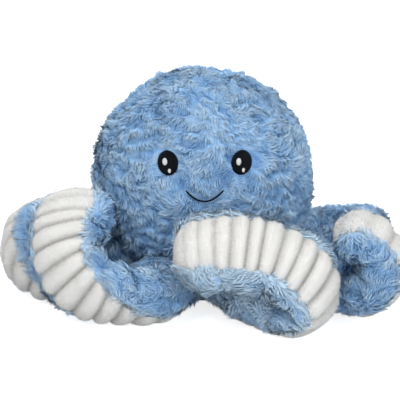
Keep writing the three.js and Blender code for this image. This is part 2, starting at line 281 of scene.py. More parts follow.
def addPatches(make, patch, grain):
    node = make.add("ShaderNodeGroup", {"Place": ownPlace(make), "Patch": patch, "Grain": grain},
                    node_tree=groups["patchNoise"])
    return node.outputs["Patches"], node.outputs["Fibres"]


def bands(make, vector, scale, distortion):
    # threads that run side by side
    wave = make.add("ShaderNodeTexWave", {"Vector": vector, "Scale": scale, "Distortion": distortion},
                    wave_type="BANDS", bands_direction="X")
    return wave.outputs["Fac"]


def bump(make, height, strength, distance, **normal):
    inputs = {"Height": height, "Strength": strength, "Distance": distance, **normal}
    return make.add("ShaderNodeBump", inputs).outputs["Normal"]


def softNormal(make, share):
    # fine fibres scatter light, so a lock is shaded in part as the cloth that it stands on
    bed = make.add("ShaderNodeVectorTransform", {"Vector": make.attribute("bedNormal", "Vector")},
                   vector_type="NORMAL", convert_from="OBJECT", convert_to="WORLD")
    own = make.add("ShaderNodeNewGeometry")
    mix = make.add("ShaderNodeMix", {0: share, 4: own.outputs["Normal"], 5: bed.outputs["Vector"]},
                   data_type="VECTOR")
    return make.vector("NORMALIZE", mix.outputs[1])


def furMaterial():
    material, make = newMaterial("bluePile")
    ramp = make.add("ShaderNodeValToRGB")
    # the ramp paints shade at the roots of the locks and light at their tips
    ramp.color_ramp.elements[0].color = colour(cloth["furRoot"])
    ramp.color_ramp.elements[1].color = colour(cloth["furTip"])
    middle = ramp.color_ramp.elements.new(0.5)
    middle.color = colour(cloth["furMiddle"])
    # one of these values, set per arm, is painted light on an arm curl that lies in shade
    values = {name: make.attribute(name) for name in ("tipShare", "tuft", "tint", "pale")}
    # tuft: painted light on tuft tops, painted shade in the creases between tufts
    values["tuft"] = make.math("MINIMUM", values["tuft"], 1.0)
    values["patches"], fibres = addPatches(make, patch=26.0, grain=1400.0)
    make.feed(weigh(make, cloth["furShade"], values, cloth["furShares"]), ramp.inputs["Fac"])
    amount = make.math("MULTIPLY", fibres, cloth["furStreak"])
    finishMaterial(make, {
        "Base Color": mixColour(make, amount, ramp.outputs["Color"], cloth["furMiddle"]),
        "Normal": softNormal(make, cloth["furNormal"]),
        "Roughness": 0.8,
        "Specular IOR Level": 0.0,
    })
    return material


def soleMaterial():
    material, make = newMaterial("whiteRibbedPile")
    values = {"tint": make.attribute("tint")}
    values["patches"], values["fibres"] = addPatches(make, patch=60.0, grain=1100.0)
    # the grooves between the ribs get painted shade, the rib tops the full white
    groove = make.math("POWER", make.attribute("ridge"), cloth["grooveEdge"])
    share = weigh(make, make.math("ADD", groove, cloth["whiteShade"]), values, cloth["whiteShares"])
    share = make.math("ADD", share, 0.0, clamp=True)
    weave = make.add("ShaderNodeUVMap", uv_map="weave").outputs["UV"]
    values["weave"] = bands(make, weave, scale=330.0, distortion=3.0)
    height = weigh(make, values["fibres"], values, {"weave": 0.35})
    normal = softNormal(make, cloth["whiteNormal"])
    finishMaterial(make, {
        "Base Color": mixColour(make, share, cloth["whiteGrooveShade"], cloth["white"]),
        "Normal": bump(make, height, strength=0.7, distance=0.001, Normal=normal),
        "Roughness": 0.9,
        "Specular IOR Level": 0.15,
        "Sheen Weight": 0.4,
        "Sheen Roughness": 0.5,
    })
    return material


def threadMaterial(name, base, rough):
    material, make = newMaterial(name)
    values = {"stitch": bands(make, ownPlace(make), scale=640.0, distortion=1.2)}
    values["patches"], values["fibres"] = addPatches(make, patch=500.0, grain=5200.0)
    dark = tuple(value * cloth["threadDark"] for value in base)
    share = make.math("ADD", weigh(make, 0.0, values, {"stitch": 0.7, "patches": 0.3}), 0.0, clamp=True)
    height = weigh(make, values["stitch"], values, {"fibres": 0.3})
    finishMaterial(make, {
        "Base Color": mixColour(make, share, dark, base),
        "Normal": bump(make, height, strength=0.6, distance=0.0004),
        "Roughness": rough,
        "Specular IOR Level": 0.08,
    })
    return material


def fibreMaterial():
    material, make = newMaterial("whiteFibre")
    patches, fibres = addPatches(make, patch=90.0, grain=1800.0)
    dim = tuple(value * cloth["fibreDark"] for value in cloth["fibre"])
    finishMaterial(make, {
        "Base Color": mixColour(make, patches, dim, cloth["fibre"]),
        "Normal": bump(make, fibres, strength=0.8, distance=0.002),
        "Roughness": 0.95,
    })
    return material


# arms: where they run

armSizes = {
    "halfWidth": 31 * mm,
    "halfThickness": 21 * mm,
    "rootRadius": 24 * mm,
    "rootRing": 79 * mm,
    "rootHeight": 25 * mm,
    "rootSteps": (-1, -0.35, 0.3),         # in root radii from the ring
    "tipLength": 24 * mm,
    "ribPitch": 11.8 * mm,
    "ribHeight": 1.8 * mm,
    "floorCut": 0.5 * mm,
    "reach": 160 * mm,
    "routeSteps": 400,
    "bendReach": 8,            # steps to each side, over which the bend is measured
    "soleHalfAngle": math.pi * 0.3,
    "rounding": 0.85,
    "roundTo": 0.1,            # shares of the length: round up to here, and flattened from there on
    "flatFrom": 0.3,
    "crease": 0.5,
    "swellPlaces": (0, 0.15, 0.35, 0.85, 1),
    "widthShares": (0, 0.45, 1, 0.97, 0.87),
    "thicknessShares": (0, 0.35, 1, 0.9, 0.8),
}

armWays = [
    {"node": "right_back_arm",
     "way": [(0.6, 0.28, 0), (0.71, 0.33, 0), (0.82, 0.325, 0.01), (0.895, 0.245, 0.03), (0.905, 0.135, 0.05),
             (0.875, 0.045, 0.075)],
     "sole": [(0, 0, -1), (0, 0.1, -1), (0.3, 0.2, -1), (0.7, 0, -0.7), (1, -0.3, -0.2), (1, -0.5, 0.2)]},
    {"node": "back_right_arm",
     "way": [(0.265, 0.685, 0), (0.28, 0.82, 0.02), (0.29, 0.895, 0.13), (0.29, 0.885, 0.275),
             (0.26, 0.785, 0.385), (0.22, 0.66, 0.42)],
     "sole": [(0, 0, -1), (0.1, 0.5, -0.9), (0.1, 1, -0.3), (0.1, 1, 0.4), (0, 0.6, 0.8), (-0.1, 0.2, 1)]},
    {"node": "back_left_arm",
     "way": [(-0.265, 0.685, 0), (-0.285, 0.825, 0.02), (-0.3, 0.905, 0.125), (-0.305, 0.91, 0.27),
             (-0.28, 0.825, 0.39), (-0.24, 0.705, 0.445)],
     "sole": [(0, 0, -1), (-0.1, 0.5, -0.9), (-0.1, 1, -0.3), (-0.1, 1, 0.4), (0, 0.6, 0.8), (0.1, 0.2, 1)]},
    {"node": "left_back_arm",
     "way": [(-0.65, 0.26, 0), (-0.805, 0.335, 0), (-0.87, 0.465, 0), (-0.82, 0.615, 0.005),
             (-0.68, 0.7, 0.02), (-0.56, 0.69, 0.05)],
     "sole": [(0, 0, -1), (0, 0, -1), (-0.2, 0.1, -1), (-0.3, 0.3, -1), (-0.1, 0.4, -1), (0, 0.5, -0.9)]},
    {"node": "left_front_arm",
     "way": [(-0.69, -0.29, 0), (-0.82, -0.31, 0.01), (-0.93, -0.27, 0.08), (-0.965, -0.14, 0.16),
             (-0.89, -0.03, 0.215), (-0.76, 0, 0.25)],
     "sole": [(0, -0.1, -1), (-0.6, -0.4, -0.9), (-1, -0.3, -0.1), (-0.9, 0.2, 0.4), (-0.4, 0.4, 0.8),
              (0, 0.3, 1)]},
    {"node": "front_left_arm",
     "way": [(-0.305, -0.635, 0.005), (-0.44, -0.7, 0.03), (-0.58, -0.715, 0.09), (-0.675, -0.68, 0.19),
             (-0.705, -0.585, 0.3), (-0.695, -0.45, 0.385), (-0.68, -0.3, 0.42)],
     "sole": [(0, -0.2, -1), (-0.1, -0.6, -0.85), (-0.35, -1, -0.5), (-0.55, -1, 0.1), (-0.5, -0.9, 0.5),
              (-0.35, -0.6, 0.9), (-0.2, -0.3, 1)]},
    {"node": "front_right_arm",
     "way": [(0.355, -0.67, 0), (0.49, -0.8, 0), (0.535, -0.865, 0.09), (0.49, -0.895, 0.19),
             (0.35, -0.895, 0.285), (0.165, -0.885, 0.32), (-0.01, -0.87, 0.305), (-0.14, -0.85, 0.27)],
     "sole": [(0.1, -0.1, -1), (0.5, -0.5, -0.8), (1, -0.6, 0), (0.7, -0.7, 0.5), (0.3, -0.6, 0.75),
              (0, -0.6, 0.8), (0, -0.6, 0.8), (0, -0.6, 0.8)]},
    {"node": "right_front_arm",
     "way": [(0.67, -0.305, 0), (0.8, -0.43, 0), (0.9, -0.545, 0.055), (0.94, -0.595, 0.165),
             (0.895, -0.595, 0.265), (0.805, -0.575, 0.3), (0.715, -0.55, 0.255)],
     "sole": [(0, 0, -1), (0.3, -0.15, -0.9), (0.8, -0.15, -0.6), (1, -0.05, 0.1), (0.7, -0.1, 0.7),
              (0.1, -0.1, 1), (-0.5, -0.1, 0.8)]},
]


def keptShare(values):
    return np.clip(values, 0, 1)


def smoothCurve(points, shares):
    points = np.asarray(points, float)
    last = len(points) - 1
    ends = np.vstack([2 * points[0] - points[1], points, 2 * points[last] - points[last - 1]])
    x = keptShare(shares) * last
    i = np.minimum(x.astype(int), last - 1)
    w = (x - i)[:, None]
    a, b, c, d = ends[i], ends[i + 1], ends[i + 2], ends[i + 3]
    return 0.5 * (2 * b + (c - a) * w + (2 * a - 5 * b + 4 * c - d) * w ** 2
                  + (3 * b - a - 3 * c + d) * w ** 3)


def unit(vectors):
    return vectors / np.maximum(np.linalg.norm(vectors, axis=-1, keepdims=True), 1e-9)


def pieceName(node):
    first, *others = node.split("_")
    return first + "".join(other.capitalize() for other in others)


def rootPlace(index, ring):
    angle = (index + 0.5) * math.tau / len(armWays)
    return math.cos(angle) * ring, math.sin(angle) * ring, armSizes["rootHeight"]


def armRoute(index):
    way, sizes = armWays[index], armSizes
    ring, root = sizes["rootRing"], sizes["rootRadius"]
    floorHeight = sizes["halfThickness"] + sizes["ribHeight"] - sizes["floorCut"]
    points = [rootPlace(index, ring + root * share) for share in sizes["rootSteps"]]
    points += [(x * sizes["reach"], y * sizes["reach"], z * sizes["reach"] + floorHeight)
               for x, y, z in way["way"]]
    soles = [(0, 0, -1)] * 3 + way["sole"]
    steps, reach = sizes["routeSteps"], sizes["bendReach"]
    shares = np.linspace(0, 1, steps + 1)
    walked = np.r_[0, np.cumsum(np.linalg.norm(np.diff(smoothCurve(points, shares), axis=0), axis=1))]
    length = walked[-1]
    along = np.linspace(0, length, steps + 1)
    spread = np.interp(along, walked, shares)
    centre = smoothCurve(points, spread)
    tangent = unit(np.gradient(centre, axis=0))
    k = np.arange(steps + 1)
    before, after = np.maximum(k - reach, 0), np.minimum(k + reach, steps)
    bend = (tangent[after] - tangent[before]) / (along[after] - along[before])[:, None]
    sole = smoothCurve(soles, spread)
    sole = unit(sole - (sole * tangent).sum(1)[:, None] * tangent)
    ribs = round((length - root - sizes["tipLength"]) / sizes["ribPitch"])
    return {"along": along, "centre": centre, "bend": bend, "sole": sole, "side": np.cross(tangent, sole),
            "length": length, "ribs": ribs}


def softPower(value):
    return np.sign(value) * np.abs(value) ** armSizes["rounding"]


def armPoint(route, along, angle, inset=0.0, swell=0.0, widen=0.0):
    sizes, length = armSizes, route["length"]
    place = along / length
    shrunk = inset + place * (length - inset * 2)
    at = lambda name: np.stack([np.interp(shrunk, route["along"], route[name][:, k]) for k in range(3)], -1)
    wide = np.interp(place, sizes["swellPlaces"], sizes["widthShares"])
    thick = np.interp(place, sizes["swellPlaces"], sizes["thicknessShares"])
    wide = sizes["rootRadius"] + (sizes["halfWidth"] - sizes["rootRadius"]) * wide - inset + widen
    thick = sizes["rootRadius"] + (sizes["halfThickness"] - sizes["rootRadius"]) * thick - inset + swell
    turn = keptShare((place - sizes["roundTo"]) / (sizes["flatFrom"] - sizes["roundTo"]))
    turn = turn * turn * (3 - 2 * turn)
    cosine = np.cos(angle) * (1 - turn) + softPower(np.cos(angle)) * turn
    sine = np.sin(angle) * (1 - turn) + softPower(np.sin(angle)) * turn
    ends = np.minimum(along / sizes["rootRadius"], (length - along) / sizes["tipLength"])
    depth = 1 - np.minimum(ends, 1)
    share = np.sqrt(keptShare(1 - depth * depth))
    sole, side, bend = unit(at("sole")), unit(at("side")), at("bend")
    offset = sole * (thick * share * cosine)[:, None] + side * (wide * share * sine)[:, None]
    crease = 1 + np.maximum(0, (offset * bend).sum(1) * sizes["crease"])
    return at("centre") + offset / crease[:, None]


def placesOf(bm):
    return np.array([tuple(vertex.co) for vertex in bm.verts])


def moveTo(vertices, places):
    for vertex, place in zip(vertices, places):
        vertex.co = place


def weld(bm, distance):
    bmesh.ops.remove_doubles(bm, verts=bm.verts[:], dist=distance)


def faceAway(bm, face, middle):
    # all faces look outward, once this one looks away from the middle
    bmesh.ops.recalc_face_normals(bm, faces=bm.faces[:])
    if face.normal.dot(face.calc_center_median() - Vector(middle)) < 0:
        bmesh.ops.reverse_faces(bm, faces=bm.faces[:])


def wrapGrid(columns, rows, wrap):
    # a flat grid laid over a curved surface, with its places kept
    bm = bmesh.new()
    bmesh.ops.create_grid(bm, x_segments=columns, y_segments=rows, size=0.5)
    places = placesOf(bm)[:, :2] + 0.5
    moveTo(bm.verts, wrap(places[:, 0], places[:, 1]))
    bm.verts.index_update()
    return bm, places


def layUv(bm, name, places):
    layer = bm.loops.layers.uv.new(name)
    for face in bm.faces:
        for loop in face.loops:
            loop[layer].uv = places[loop.vert.index]


def layBakeUv(bm, flat):
    # the cloth keeps the lowest part of the map, and the locks take the rest
    layUv(bm, "OFBake", flat * np.array([1.0, bakeMap["cloth"]]))


def setFloats(bm, name, values):
    layer = bm.verts.layers.float.new(name)
    for vertex, value in zip(bm.verts, np.broadcast_to(values, len(bm.verts))):
        vertex[layer] = float(value)


def setVectors(bm, name, values):
    layer = bm.verts.layers.float_vector.new(name)
    for vertex, value in zip(bm.verts, values):
        vertex[layer] = Vector(value)


def giveWall(bm, inner, name, raised=None):
    # a second skin at the inner places, which carries no pile; then the first is raised to its full height
    layer = bm.verts.layers.float[name]
    outer = bm.verts[:]
    rim = [edge for edge in bm.edges if edge.is_boundary]
    twins = bmesh.ops.duplicate(bm, geom=bm.verts[:] + bm.edges[:] + bm.faces[:])["vert_map"]
    bmesh.ops.reverse_faces(bm, faces=list({face for vertex in outer for face in twins[vertex].link_faces}))
    for vertex, place in zip(outer, inner):
        twins[vertex].co = place
        twins[vertex][layer] = 0.0
    for edge in rim:
        loop = edge.link_loops[0]
        first, second = loop.vert, loop.link_loop_next.vert
        bm.faces.new((second, first, twins[first], twins[second]))
    if raised is not None:
        moveTo(outer, raised)


# pile

bakeMap = {
    "cloth": 0.26,
    "locks": (0.72, 0.28),     # a share of the map's height, and where it starts
    "side": (0.6, 0.2),        # the part of its own square that a lock fills, and the margin
    "up": (0.8, 0.1),
}

pile = {
    "noiseSeed": 3,
    "rootWidth": 0.055,        # half widths, as shares of a lock's length
    "middleWidth": 0.085,
    "middleHeight": 0.5,
    "middleBend": 0.06,
    "tipHeight": 0.96,
    "tipBend": 0.3,
    "flatness": 0.6,
    "armSpacing": 1.15 * mm,
    "armLength": 7.0 * mm,
    "headSpacing": 1.04 * mm,
    "headLength": 7.2 * mm,
    "crowd": 2.4,              # tries for each place, so that the pile is close
    "bare": 0.06,              # no pile where its cover is less
    "lengths": (0.72, 1.18),
    "tuftReach": (0.35, 0.75),
    "bed": 4.2 * mm,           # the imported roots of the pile
    "bedRelief": 4.0 * mm,
    # where the bed between the locks sits on the fur's colours, near the root's painted shade
    "bedShadeTone": 0.1,
    "lean": 1.2,
    "swirl": 3.2,
    "swirlScale": 30.0,
    "swirlShift": (9.0, 4.0, 2.0),
    "tuftSize": 13 * mm,
    "tuftFlat": 1.7,
    "tuftPull": 0.9,
    "tuftTurn": 1.4,
    "tuftTurnScale": 7.3,
    "tuftEdge": 1.7,
    "tuftRound": 0.6,
    "tuftGrain": 200.0,
    "tuftGrainShare": 0.3,
    "tuftWarp": 9 * mm,
    "ridgeSize": 17 * mm,
    "ridgeEdge": 2.6,
    "ridgeShare": 0.55,
    "sprawl": 0.2,
    "roll": 0.9,
    "velvetWidth": 0.24,       # half width of a cone of the white pile, as a share of its length
    "velvetSink": 0.1,
    "velvetSpacing": 1.25 * mm,
    "velvetLength": 2.1 * mm,
    "velvetLean": 0.8,
}

noise.seed_set(pile["noiseSeed"])


def finishLock(name, bm, low, high):
    # a lock knows how far up and how far round each of its vertices is
    bm.verts.index_update()
    setFloats(bm, "tipShare", [(v.co.z - low) / (high - low) for v in bm.verts])
    setFloats(bm, "sideShare", [math.atan2(v.co.y, v.co.x) / math.tau + 0.5 for v in bm.verts])
    lock = meshObject(name, bm)
    lock.hide_render = True
    return lock


def extrude(bm, faces):
    grown = bmesh.ops.extrude_face_region(bm, geom=faces)
    return [item for item in grown["geom"] if isinstance(item, bmesh.types.BMVert)]


def within(bm, ring):
    return [face for face in bm.faces if all(vertex in ring for vertex in face.verts)]


def makeLock():
    # one tapered lock of pile, a unit long, bent over to +X
    root, broad = pile["rootWidth"], pile["middleWidth"] / pile["rootWidth"]
    bm = bmesh.new()
    bmesh.ops.create_circle(bm, cap_ends=True, segments=3, radius=1.0)
    bmesh.ops.scale(bm, vec=(root * pile["flatness"], root, 1.0), verts=bm.verts[:])
    ring = extrude(bm, bm.faces[:])
    bmesh.ops.scale(bm, vec=(broad, broad, 1.0), verts=ring)
    bmesh.ops.translate(bm, vec=(pile["middleBend"], 0.0, pile["middleHeight"]), verts=ring)
    tip = extrude(bm, within(bm, ring))
    bmesh.ops.pointmerge(bm, verts=tip, merge_co=(pile["tipBend"], 0.0, pile["tipHeight"]))
    bmesh.ops.delete(bm, geom=within(bm, ring), context="FACES_ONLY")
    bmesh.ops.triangulate(bm, faces=bm.faces[:])
    bmesh.ops.recalc_face_normals(bm, faces=bm.faces[:])
    return finishLock("pileLock", bm, 0.0, pile["tipHeight"])


def makeVelvetLock():
    # one short cone of the white pile, a unit long
    sink = pile["velvetSink"]
    bm = bmesh.new()
    bmesh.ops.create_cone(bm, cap_ends=True, cap_tris=True, segments=3, radius1=pile["velvetWidth"],
                          radius2=0.0, depth=1.0)
    bmesh.ops.translate(bm, vec=(0.0, 0.0, 0.5 - sink), verts=bm.verts[:])
    weld(bm, 0.001)
    bmesh.ops.triangulate(bm, faces=bm.faces[:])
    return finishLock("velvetLock", bm, -sink, 1.0 - sink)


def pileTree(name, lock):
    # one lock on each of many random places, which leans and stands as the cloth's values say
    tree = bpy.data.node_groups.new(name, "GeometryNodeTree")
    make = NodeMaker(tree)
    make.sockets("INPUT", "Geometry", "Geometry")
    make.sockets("INPUT", "Float", "Spacing", "Length", "Seed")
    make.sockets("OUTPUT", "Geometry", "Geometry")
    start, end = make.add("NodeGroupInput").outputs, make.add("NodeGroupOutput")
    cover, spacing = make.named("pile"), start["Spacing"]
    spread = make.add("GeometryNodeDistributePointsOnFaces", distribute_method="POISSON", inputs={
        "Mesh": start["Geometry"],
        "Distance Min": spacing,
        "Density Max": make.math("DIVIDE", pile["crowd"], make.math("MULTIPLY", spacing, spacing)),
        "Density Factor": make.math("GREATER_THAN", cover, pile["bare"]),
        "Seed": start["Seed"],
    })
    normal = spread.outputs["Normal"]

    lean = make.named("lean", "FLOAT_VECTOR")
    off = make.vector("SCALE", normal, Scale=make.vector("DOT_PRODUCT", lean, normal, output="Value"))
    flat = make.vector("SUBTRACT", lean, off)
    way = make.vector("NORMALIZE", make.vector("ADD", normal, flat))
    aim = make.add("FunctionNodeAlignRotationToVector", {"Vector": way}, axis="Z")
    roll = make.add("FunctionNodeAlignRotationToVector", axis="X", pivot_axis="Z", inputs={
        "Rotation": aim.outputs["Rotation"], "Vector": flat})
    most = (pile["sprawl"], pile["sprawl"], pile["roll"])
    least = tuple(-value for value in most)
    shake = make.random("FLOAT_VECTOR", {"Min": least, "Max": most, "Seed": 3}, 0)
    turnBy = make.add("FunctionNodeEulerToRotation", {"Euler": shake})
    turned = make.add("FunctionNodeRotateRotation", rotation_space="LOCAL", inputs={
        "Rotation": roll.outputs["Rotation"], "Rotate By": turnBy.outputs["Rotation"]})

    shortest, longest = pile["lengths"]
    vary = make.random("FLOAT", {2: shortest, 3: longest, "Seed": 5}, 1)
    full = make.math("MULTIPLY_ADD", make.named("tuft"), *pile["tuftReach"])
    reach = make.math("MULTIPLY", make.math("MULTIPLY", start["Length"], vary), cover)
    broad = make.math("MULTIPLY", start["Length"], make.math("POWER", cover, 0.5))
    reach = make.math("MULTIPLY", reach, full)
    scale = make.add("ShaderNodeCombineXYZ", {"X": broad, "Y": broad, "Z": reach})

    points = make.store(spread.outputs["Points"], "tint", make.random("FLOAT", {"Seed": 9}, 1))
    points = make.store(points, "bedNormal", normal, "FLOAT_VECTOR")
    points = make.store(points, "lockIndex", make.add("GeometryNodeInputIndex").outputs["Index"])
    chosen = make.add("GeometryNodeObjectInfo", {"Object": lock})
    onPoints = make.add("GeometryNodeInstanceOnPoints", {
        "Points": points, "Instance": chosen.outputs["Geometry"],
        "Rotation": turned.outputs["Rotation"], "Scale": scale.outputs["Vector"]})
    real = make.add("GeometryNodeRealizeInstances", {"Geometry": onPoints.outputs["Instances"]})

    # each lock gets a square of its own in the map
    size = make.add("GeometryNodeAttributeDomainSize", {"Geometry": points}, component="POINTCLOUD")
    across = make.math("CEIL", make.math("SQRT", size.outputs["Point Count"]))
    index = make.named("lockIndex")
    column = make.math("MODULO", index, across)
    row = make.math("FLOOR", make.math("DIVIDE", make.math("ADD", index, 0.5), across))
    side = make.math("MULTIPLY_ADD", make.named("sideShare"), *bakeMap["side"])
    up = make.math("MULTIPLY_ADD", make.named("tipShare"), *bakeMap["up"])
    mapU = make.math("DIVIDE", make.math("ADD", column, side), across)
    mapV = make.math("DIVIDE", make.math("ADD", row, up), across)
    mapV = make.math("MULTIPLY_ADD", mapV, *bakeMap["locks"])
    both = make.add("ShaderNodeCombineXYZ", {"X": mapU, "Y": mapV})
    locks = make.store(real.outputs["Geometry"], "OFBake", both.outputs["Vector"], "FLOAT2", "CORNER")

    own = make.add("GeometryNodeInputNormal").outputs["Normal"]
    bed = make.store(start["Geometry"], "bedNormal", own, "FLOAT_VECTOR")
    join = make.add("GeometryNodeJoinGeometry", {"Geometry": locks})
    make.feed(bed, join.inputs["Geometry"])
    make.feed(join.outputs["Geometry"], end.inputs["Geometry"])
    return tree


def tufts(places, comb):
    # the pile stands in tufts and wavy ridges, and a tuft's locks draw together at the tip
    heights, leans = [], []
    for place, way in zip(places, comb):
        spot = Vector(place)
        swirlSpot = spot * pile["swirlScale"]
        bent = spot + noise.noise_vector(swirlSpot) * pile["tuftWarp"]
        bent.z *= pile["tuftFlat"]
        cell = bent / pile["tuftSize"]
        gaps, middles = noise.voronoi(cell)
        grain = 0.5 + 0.5 * noise.noise(bent * pile["tuftGrain"])
        tuft = min(1.0, (gaps[1] - gaps[0]) * pile["tuftEdge"]) ** pile["tuftRound"]
        ridge = 1.0 - min(1.0, abs(noise.noise(bent / pile["ridgeSize"])) * pile["ridgeEdge"])
        height = tuft + (ridge - tuft) * pile["ridgeShare"]
        heights.append(height + (grain - height) * pile["tuftGrainShare"])
        own = noise.noise_vector(middles[0] * pile["tuftTurnScale"]) * pile["tuftTurn"]
        swirl = noise.noise_vector(swirlSpot + Vector(pile["swirlShift"])) * pile["swirl"]
        leans.append(Vector(way) * pile["lean"] + own + swirl + (middles[0] - cell) * pile["tuftPull"])
    return np.array(heights), leans


def bedHeight(heights):
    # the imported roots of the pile, higher in the middle of a tuft
    return pile["bed"] + pile["bedRelief"] * (heights * 2 - 1)


def growPile(piece, kind, material, spacing, length, seed):
    growing = piece.modifiers.new("pile", "NODES")
    growing.node_group = groups[kind]
    values = {"Spacing": spacing, "Length": length, "Seed": seed}
    for item in groups[kind].interface.items_tree:
        if item.name in values:
            growing[item.identifier] = float(values[item.name])
    settle(piece)
    piece.data.materials.clear()
    piece.data.materials.append(materials[material])
    attributes = piece.data.attributes
    for name in ("lockIndex", "sideShare", "lean"):
        if name in attributes:
            attributes.remove(attributes[name])


# arms: fur, sole and filling

armLook = {
    "furRows": 110,
    "furColumns": 44,
    "furInset": 0.6 * mm,
    "furWall": 2.2 * mm,
    "furFloor": 0.6 * mm,
    "tuck": 0.05,              # how far the fur cloth runs in under the sole, in radians
    "floorFade": 14 * mm,      # the pile shortens toward the floor
    "rootBare": 12 * mm,       # no pile on the root, and a short one after it
    "rootFade": (6 * mm, 20 * mm),
    "edgeFade": 0.1,
    "edgePile": 0.4,
    "fringeWidth": 0.14,
    "fringeTone": 1.02,
    "combAhead": 0.75,
    "combOut": 0.5,
    "rowsPerRib": 9,
    "soleColumns": 22,
    "soleWall": 1.8 * mm,
    "soleFade": 8 * mm,
    "ribHigh": 3.2 * mm,
    "ribLow": -2.0 * mm,
    "ribRound": 2.3,
    "ribWave": 0.08,
    "rootPlain": 0.4,          # the ribs begin past this share of the root's radius
    "seamWidth": 0.07,
    "seamRib": 0.25,           # a rib's height on the seam
    "tipFade": 0.27,
    "tipRib": 0.1,
    "scallop": 0.16,
    "ends": (0.004, 0.9995),   # the grid stops just short of the arm's two ends
    "step": 0.01,              # the span over which the cloth's direction is taken
    "weld": 0.05 * mm,
    "paintedLightArms": {"front_right_arm": 0.5},  # arms whose pile is painted paler, as painted light on a curl that lies in shade
    "unevenness": 0.5 * mm,
}


def ripple(place, seed):
    # a slow, small wave of its own for each arm
    return (np.sin(place * 37 + seed * 1.7) + np.sin(place * 61 + seed * 4.1) * 0.6) / 1.6


def ribShare(route, along, seed):
    root, tip = armSizes["rootRadius"], armSizes["tipLength"]
    pitch = (route["length"] - root - tip) / route["ribs"]
    q = (along - root) / pitch + armLook["ribWave"] * ripple(along / route["length"], seed)
    q = q - np.floor(q)
    return 1 - np.abs(2 * q - 1) ** armLook["ribRound"]


def armMiddle(bm, route):
    # a face halfway along the grid, and the arm's middle nearest to it
    bm.faces.ensure_lookup_table()
    face = bm.faces[len(bm.faces) // 2]
    gaps = np.linalg.norm(route["centre"] - np.array(face.calc_center_median()), axis=1)
    return face, route["centre"][gaps.argmin()]


def makeSole(index, route):
    node, look = armWays[index]["node"], armLook
    length, half = route["length"], armSizes["soleHalfAngle"]
    rows = int(length / armSizes["ribPitch"] * look["rowsPerRib"])

    def tipShare(along):
        return keptShare((length - along) / (length * look["tipFade"]))

    def wrap(u, v, inset=0.0):
        along = np.clip(v * length, length * look["ends"][0], length)
        rib = ribShare(route, along, index)
        rooted = keptShare(along / armSizes["rootRadius"] - look["rootPlain"])
        fade = tipShare(along) * (1 - look["tipRib"]) + look["tipRib"]
        relief = (look["ribLow"] + (look["ribHigh"] - look["ribLow"]) * rib) * rooted * fade
        angle = (u - 0.5) * 2 * half * (1 + look["scallop"] * (rib - 0.5) * rooted)
        edge = keptShare((0.5 - np.abs(u - 0.5)) / look["seamWidth"])
        relief = relief * (look["seamRib"] + (1 - look["seamRib"]) * edge)
        relief = relief + look["unevenness"] * ripple(v * 0.6 + u * 0.2, index + 3)
        places = armPoint(route, along, angle, inset, relief, relief * 0.6)
        places[:, 2] = np.maximum(places[:, 2], 0.0)
        return places

    bm, flat = wrapGrid(look["soleColumns"], rows, wrap)
    u, v = flat.T
    along = v * length
    layUv(bm, "weave", np.stack([u * armSizes["halfWidth"] * 2, along], 1))
    layBakeUv(bm, flat)
    # the ridge value sets the painted shade in the grooves; it is full white at the tip, where the ribs fade
    setFloats(bm, "ridge", np.maximum(ribShare(route, along, index), 1 - tipShare(along)))
    setFloats(bm, "pile", keptShare(placesOf(bm)[:, 2] / look["soleFade"]))
    ahead = unit(wrap(u, keptShare(v + look["step"])) - wrap(u, v - look["step"]))
    setVectors(bm, "lean", ahead * pile["velvetLean"])
    setFloats(bm, "tuft", 1.0)
    faceAway(bm, *armMiddle(bm, route))
    giveWall(bm, wrap(u, v, look["soleWall"]), "pile")
    weld(bm, look["weld"])
    sole = meshObject(pieceName(node + "_sole"), bm)
    growPile(sole, "velvet", "sole", pile["velvetSpacing"], pile["velvetLength"], index + 31)
    finishPiece(sole, node, [node + "_sole"])


